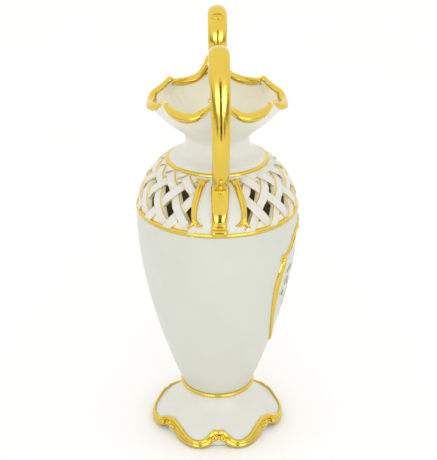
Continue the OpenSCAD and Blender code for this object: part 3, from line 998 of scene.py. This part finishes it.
def build_crown(build, sign):
    """An oval bead with a small star in it, on the back of a loop near its top."""
    ahead = loop_ahead(CROWN_T)
    out = vec(-sign * ahead[1], 0, ahead[0])
    turns = np.linspace(0, 2 * PI, 41)
    oval = [crown_spot(sign, 5.3 * math.cos(a), 2.7 * math.sin(a)) for a in turns]
    tube(build, oval, out, [1.3] * 41, 8)
    for k in range(5):
        a = PI / 2 + 2 * PI * k / 5
        ray = [crown_spot(sign, 2.2 * s * math.cos(a), 1.5 * s * math.sin(a)) for s in np.linspace(0, 1, 5)]
        moulding(build, ray, [out] * 5, [1.3, 1.2, 1.0, 0.7, 0.3], [0.8, 0.7, 0.5, 0.3, 0.2])


def build_root_leaf(build, sign, hand):
    """The leaf that sweeps from the lip up the side of a loop's root. One of the four is larger."""
    base = 0 if sign > 0 else 180
    large = sign > 0 and hand > 0
    path = [in_plane(lip_point(base + hand * a) + vec(-0.2, 0.7), base + hand * a) for a in (25, 19, 14)]
    climb = ((0.03, 0.2), (0.08, 0.9), (0.13, 1.9), (0.17, 2.8)) if large else ((0.0, 1.8), (0.025, 3.8))
    path += [loop_point(sign, t, -0.6, hand * sign * (HANDLE_W / 2 - sunk)) for t, sunk in climb]
    path = smooth_curve(path, 5)
    count = len(path)
    full = 7.6 if large else 4.2
    widths = [0.6 + full * math.sin(PI * mix(0.04, 0.97, (k / (count - 1)) ** 0.9)) for k in range(count)]
    out = unit(vec(-0.5, hand * 0.3, 0.8))
    moulding(build, path, [out] * count, widths, [0.42 * w for w in widths])


def build_strap(side, centre):
    """The strap on the panel below a loop: a round-shouldered top, a slight waist and a roll."""
    build = Build()
    count = 81
    lean = 1.4 if side == "left" else 0
    route, widths, heights = [], [], []
    for i in range(count):
        z = mix(STRAP_LOW_Z - 0.4, STRAP_TOP_Z, i / (count - 1))
        up = (z - STRAP_LOW_Z) / (STRAP_TOP_Z - STRAP_LOW_Z)
        shoulder = math.sqrt(max(0.0, 1 - max(0.0, (z - STRAP_TOP_Z + 4.6) / 4.7) ** 2))
        groove = bell(z - STRAP_LOW_Z - 0.8, 1.5) + 0.5 * bell(z - STRAP_LOW_Z - 3.6, 0.8)
        route.append((centre + lean * up, z))
        widths.append(mix(STRAP_LOW_W, STRAP_TOP_W, smooth(up)) * mix(0.45, 1, shoulder))
        swell = 1.3 * bell(z - 238, 8) + 2.4 * bell(z - 251.5, 4.5)
        heights.append((STRAP_T + swell) * mix(0.3, 1, shoulder) * (1 - 0.5 * groove))
    shell_moulding(build, route, 0.0, widths, heights, PILLOW, round_ends=False)
    a = math.radians(centre)
    across = vec(-math.sin(a), math.cos(a), 0)
    out = shell_normal(centre, 223)
    roll = [shell_point(centre, STRAP_LOW_Z - 2.9, 1.1) + across * x + out * 0.35 * (1 - (x / 6.2) ** 2)
            for x in np.linspace(-4.2, 4.2, 15)]
    tube(build, roll, out, [STRAP_ROLL_W] * 15, 20)
    build.piece(f"panel_strap_{side}", [gilding], "gilding", [f"strap_{side}"])


def build_husk(side, sign):
    """Three beads down a loop's lower end, and a small leaf below them."""
    build = Build()
    for t, radius in ((2.53, 1.8), (2.66, 1.7), (2.80, 2.0)):
        thick = loop_size(t)[1]
        build.ball(loop_point(sign, t, thick / 2 + 0.7, 0), (radius, radius, radius), np.eye(3))
    path = [loop_point(sign, t, loop_size(t)[1] / 2 - 0.1, 0) for t in np.linspace(2.9, 3.0, 17)]
    widths = [0.5 + 3.0 * math.sin(PI * s) for s in np.linspace(0.25, 1, 17)]
    out = unit(path[0] - loop_point(sign, 2.90, 0, 0))
    moulding(build, path, [out] * 17, widths, [0.4 * w for w in widths])
    build.piece(f"husk_drop_{side}", [gilding], "gilding", [f"husk_{side}"])


# ---- Cartouche ----

FACE_ANGLE = 270
# One half of the frame, as (angle from the middle of the face, height), from the bottom up
FRAME_LOW = [(3.5, 91.4), (9.0, 88.6), (16, 90.6), (22.4, 96), (27.8, 104.4), (33.4, 116), (37.2, 129),
             (39.0, 141), (39.7, 152.5), (39.2, 162), (37.6, 171), (35.8, 177.8), (34.2, 183.6)]
FRAME_TOP = [(37.0, 183.6), (38.6, 183.9), (38.7, 186.4), (36.6, 186.6), (33.0, 186.7), (29.7, 188.4),
             (27.0, 191.2), (24.9, 194.8), (22.6, 198.6), (19.4, 202.2), (15.6, 204.6), (11.4, 205.4),
             (8.8, 203.6), (8.9, 201.2), (10.9, 201.3)]


def build_frame_scroll(build, points, side, width_at, eyes):
    """A scroll of the frame, with a bead in the eye at each of its curled ends."""
    route = [(FACE_ANGLE + side * p[0], p[1]) for p in smooth_curve(points, 7)]
    widths = [width_at(z) for _, z in route]
    shell_moulding(build, route, 0.1, widths, [0.18 * w + 1.1 for w in widths], SCOTIA)
    for end in eyes:
        build.ball(shell_point(*route[end], 0.8), (1.3, 1.3, 1.2), sphere_axes(shell_normal(*route[end])))


def low_frame_width(z):
    """Width of the frame's lower scroll, which swells towards its top."""
    return (2.8 + 4.2 * bell(z - 164, 34)) * mix(0.6, 1, smooth((184 - z) / 5))


def top_frame_width(z):
    """Width of the frame's upper scroll, with thin curls at both ends."""
    return mix(1.9, 4.2, bell(z - 195, 8.5))


def build_petals(build, centre, lengths, headings, full):
    """Tapered leaves that spread out from one point on the shell."""
    for length, heading in zip(lengths, headings):
        widths = [0.4 + full * math.sin(PI * mix(0.08, 0.93, k / 12)) for k in range(13)]
        shell_moulding(build, leaf_route(centre, length, heading), 0.2, widths, [0.38 * w for w in widths])


def leaf_route(centre, length, heading, curve=0.0, steps=13):
    """A route on the shell from a point, at a heading measured from upright, which may curve."""
    angle, z = centre
    route = []
    for s in np.linspace(0, 1, steps):
        h = math.radians(heading + curve * s)
        aside = math.degrees(length * s * math.sin(h) / shell_r(z))
        route.append((angle + aside, z + length * s * math.cos(h)))
    return route


def build_shell_ornament(name, z, lengths, headings, full, bead_r, curls=False):
    """A fan of petals round a bead, in the middle of the face, with two side petals if it has curls."""
    build = Build()
    build_petals(build, (FACE_ANGLE, z), lengths, headings, full)
    if curls:
        build_petals(build, (FACE_ANGLE, z + 0.6), (5.0, 5.0), (-118, 118), 2.4)
    build.ball(shell_point(FACE_ANGLE, z, 0.8), (bead_r, bead_r, 1.3),
               sphere_axes(shell_normal(FACE_ANGLE, z)))
    build.piece(f"cartouche_{name}_shell", [gilding], "gilding", [f"cartouche_{name}"])


def build_cartouche():
    for name, side in (("left", -1), ("right", 1)):
        build = Build()
        build_frame_scroll(build, FRAME_LOW, side, low_frame_width, ())
        build_frame_scroll(build, FRAME_TOP, side, top_frame_width, (0, -1))
        build.piece(f"cartouche_scroll_{name}", [gilding], "gilding", [f"cartouche_{name}"])
    build_shell_ornament("crest", 202.0, (5.6, 6.2, 6.6, 6.2, 5.6), (-62, -30, 0, 30, 62), 3.0, 2.0,
                         curls=True)
    build_shell_ornament("base", 91.5, (5.0, 5.6, 6.0, 5.6, 5.0), (-118, -150, 180, 150, 118), 2.8, 1.9)


# ---- Painted spray inside the cartouche ----


def flat_leaf(build, centre, length, heading, full, curve=0.0, lift=0.12):
    """A thin painted leaf or petal on the shell."""
    widths = [0.15 + full * math.sin(PI * mix(0.02, 0.96, (k / 12) ** 0.85)) for k in range(13)]
    shell_moulding(build, leaf_route(centre, length, heading, curve), lift, widths, (0.16, 0.16))


def bloom(build, heart, centre, radius, petals, turn=0.0):
    """A painted flower: a ring of petals, with its heart as a separate colour."""
    for k in range(petals):
        flat_leaf(build, centre, radius, turn + k * 360 / petals, radius * 0.78, 14.0, 0.12 + 0.03 * (k % 2))
    heart.ball(shell_point(*centre, 0.2), (radius * 0.24, radius * 0.24, 0.35),
               sphere_axes(shell_normal(*centre)))


# Flowers of the spray, as (angle from the middle of the face, height, radius, petals)
ROSES = [(2, 144, 8.6, 7), (14, 158, 6.4, 6), (-6, 163, 5.8, 6)]
SMALL_FLOWERS = [(21, 139, 4.4, 5), (-24, 156.5, 4.8, 5), (5, 173, 4.2, 5), (-10, 126, 4.0, 5),
                 (25, 150, 3.8, 5)]
STEMS = [(0, 112, 36, -4, 10), (0, 112, 48, 22, 20), (0, 112, 52, -24, -20), (2, 128, 44, 2, -10),
         (0, 118, 30, 50, -14), (-4, 124, 34, -50, 30)]
LEAVES = [(-8, 134, 9, -70), (12, 131, 9, 64), (17, 147, 8, 100), (-16, 150, 8, -60), (6, 163, 8, 24),
          (-9, 172, 8, -30), (22, 161, 8, 50), (-26, 165, 6, 20), (24, 131, 7, 110), (-28, 149, 6, 150),
          (4, 119, 7, 130), (-5, 118, 7, -135), (9, 177, 7, 34), (27, 144, 7, 75), (-20, 166, 6, -40)]


def build_painting():
    rose, blue, green, heart = Build(), Build(), Build(), Build()
    for angle, z, radius, petals in ROSES:
        bloom(rose, heart, (FACE_ANGLE + angle, z), radius, petals)
        bloom(rose, heart, (FACE_ANGLE + angle, z), radius * 0.55, petals, 25)
    for angle, z, radius, petals in SMALL_FLOWERS:
        bloom(blue, heart, (FACE_ANGLE + angle, z), radius, petals)
    for angle, z, length, heading, curve in STEMS:
        route = leaf_route((FACE_ANGLE + angle, z), length, heading, curve, 21)
        shell_moulding(green, route, 0.1, (0.9, 0.5), (0.14, 0.14))
    for angle, z, length, heading in LEAVES:
        flat_leaf(green, (FACE_ANGLE + angle, z), length, heading, 3.4, 16)
        flat_leaf(green, (FACE_ANGLE + angle, z), length * 0.72, heading + 42, 2.6, 16, 0.10)
    rose.piece("painted_roses", [rose_enamel], "porcelain")
    blue.piece("painted_small_flowers", [blue_enamel], "porcelain")
    green.piece("painted_leaves", [leaf_enamel], "porcelain")
    heart.piece("painted_flower_hearts", [heart_enamel], "porcelain")


# ---- Stage, light and camera ----


CAMERA_AZIMUTH = -91.3
CAMERA_DISTANCE = 949.0
CAMERA_HEIGHT = 633.0
CAMERA_PITCH = 24.88
LENS_MM = 98.1
AIM_RIGHT = 1.0


def build_sheet(name, corners, grain, deep, pale, roughness):
    """A flat sheet of the studio, with its corners in metres."""
    mesh = bpy.data.meshes.new(name)
    mesh.from_pydata(corners, [], [tuple(range(len(corners)))])
    material, tree, shader = new_material(name)
    tint(tree, shader, noise(tree, grain), deep, pale)
    shader.inputs["Roughness"].default_value = roughness
    mesh.materials.append(material)
    sheet = bpy.data.objects.new(name, mesh)
    bpy.context.scene.collection.objects.link(sheet)
    return sheet


def build_floor():
    build_sheet("floor", [(-6, -6, 0), (6, -6, 0), (6, 6, 0), (-6, 6, 0)], 3.0,
                (0.93, 0.925, 0.915), (0.94, 0.935, 0.925), 0.9)


def build_world():
    world = bpy.data.worlds.new("studio")
    world.use_nodes = True
    bpy.context.scene.world = world
    background = world.node_tree.nodes["Background"]
    background.inputs["Color"].default_value = (1.0, 0.995, 0.985, 1.0)
    background.inputs["Strength"].default_value = 1.09


def shade_card(name, corners, tone):
    """A dark, slightly brown sheet of painted shade, standing in for an unlit part of the studio, that only
    the gilding reflects, out of the camera's sight.
    """
    card = build_sheet(name, corners, 4.0, (tone, tone * 0.92, tone * 0.8), (tone, tone, tone), 1.0)
    card.visible_camera = False
    card.visible_diffuse = False
    card.visible_shadow = False


def build_cards():
    """Painted shade for the gilding's reflections: dark strips on the floor in front of the vase, a dark gap
    between the two front lights, and dim cards at both sides, for unlit parts of the studio. Their corners
    are in metres; the camera is on the -X side."""
    near, far, floor_z = -0.86, -1.06, 0.003
    shade_card("front_gap", [(far, -0.20, 0), (far, 0.12, 0), (far, 0.12, 0.55), (far, -0.20, 0.55)], 0.05)
    for name, near_y, far_x, far_y, tone in (("front_floor", (-0.12, 0.07), far, (-0.20, 0.12), 0.08),
                                             ("right_floor", (-0.38, -0.74), -2.0, (-0.85, -1.75), 0.16),
                                             ("left_floor", (0.38, 0.74), -2.0, (0.85, 1.75), 0.16)):
        shade_card(name, [(near, near_y[0], floor_z), (near, near_y[1], floor_z),
                         (far_x, far_y[1], floor_z), (far_x, far_y[0], floor_z)], tone)
    for side, name in ((-1, "right_side"), (1, "left_side")):
        front, back = (far, side * 0.66), (0.11, side * 1.25)
        shade_card(name, [(*front, 0.07), (*back, 0.07), (*back, 0.22), (*front, 0.22)], 0.3)


def area_light(name, place, target, size, power, glossy):
    """A soft light that shows only in reflections if it is glossy, and otherwise only as soft light.
    Places and sizes are in metres."""
    data = bpy.data.lights.new(name, "AREA")
    data.shape = "RECTANGLE"
    data.size, data.size_y = size
    data.energy = power
    light = bpy.data.objects.new(name, data)
    light.location = Vector(place)
    light.visible_glossy = glossy
    light.visible_diffuse = not glossy
    light.rotation_euler = (Vector(target) - Vector(place)).to_track_quat("-Z", "Y").to_euler()
    bpy.context.scene.collection.objects.link(light)


def build_lights():
    area_light("front_right", (-1.02, -0.60, 0.295), (-0.08, 0, 0.295), (0.74, 0.23), 2.6, True)
    area_light("front_left", (-1.04, 0.46, 0.30), (-0.08, 0, 0.30), (0.60, 0.21), 1.8, True)
    area_light("fill", (-1.1, 0, 0.75), (0, 0, 0.28), (0.9, 0.5), 1.8, False)


def build_camera():
    """The photo's view, onto the left handle from above."""
    a = math.radians(CAMERA_AZIMUTH)
    back = Vector((math.sin(a), -math.cos(a), 0))
    right = Vector((math.cos(a), math.sin(a), 0))
    place = back * CAMERA_DISTANCE + Vector((0, 0, CAMERA_HEIGHT))
    drop = CAMERA_DISTANCE * math.tan(math.radians(CAMERA_PITCH))
    aim = right * AIM_RIGHT + Vector((0, 0, CAMERA_HEIGHT - drop))
    data = bpy.data.cameras.new("camera")
    data.lens = LENS_MM
    data.sensor_fit = "HORIZONTAL"
    data.sensor_width = 36.0
    camera = bpy.data.objects.new("camera", data)
    camera.location = place * MM
    camera.rotation_euler = (aim - place).to_track_quat("-Z", "Y").to_euler()
    bpy.context.scene.collection.objects.link(camera)
    bpy.context.scene.camera = camera


build_floor()
build_world()
build_camera()
build_cards()
build_lights()
bpy.context.scene.view_settings.view_transform = "Standard"

build_foot()
build_footring()
build_foot_scrolls()
build_volutes()
build_body()
build_rings()
build_lattices()
for side, centre, sign in (("right", 0, 1), ("left", 180, -1)):
    build_panel(side, centre)
    build_panel_scrolls(side, centre)
    build_handle(side, sign)
    build_strap(side, centre)
    build_husk(side, sign)
build_neck()
build_lip("lip_rolls_front", "lip_front", 180)
build_lip("lip_rolls_back", "lip_back", 0)
build_cartouche()
build_painting()
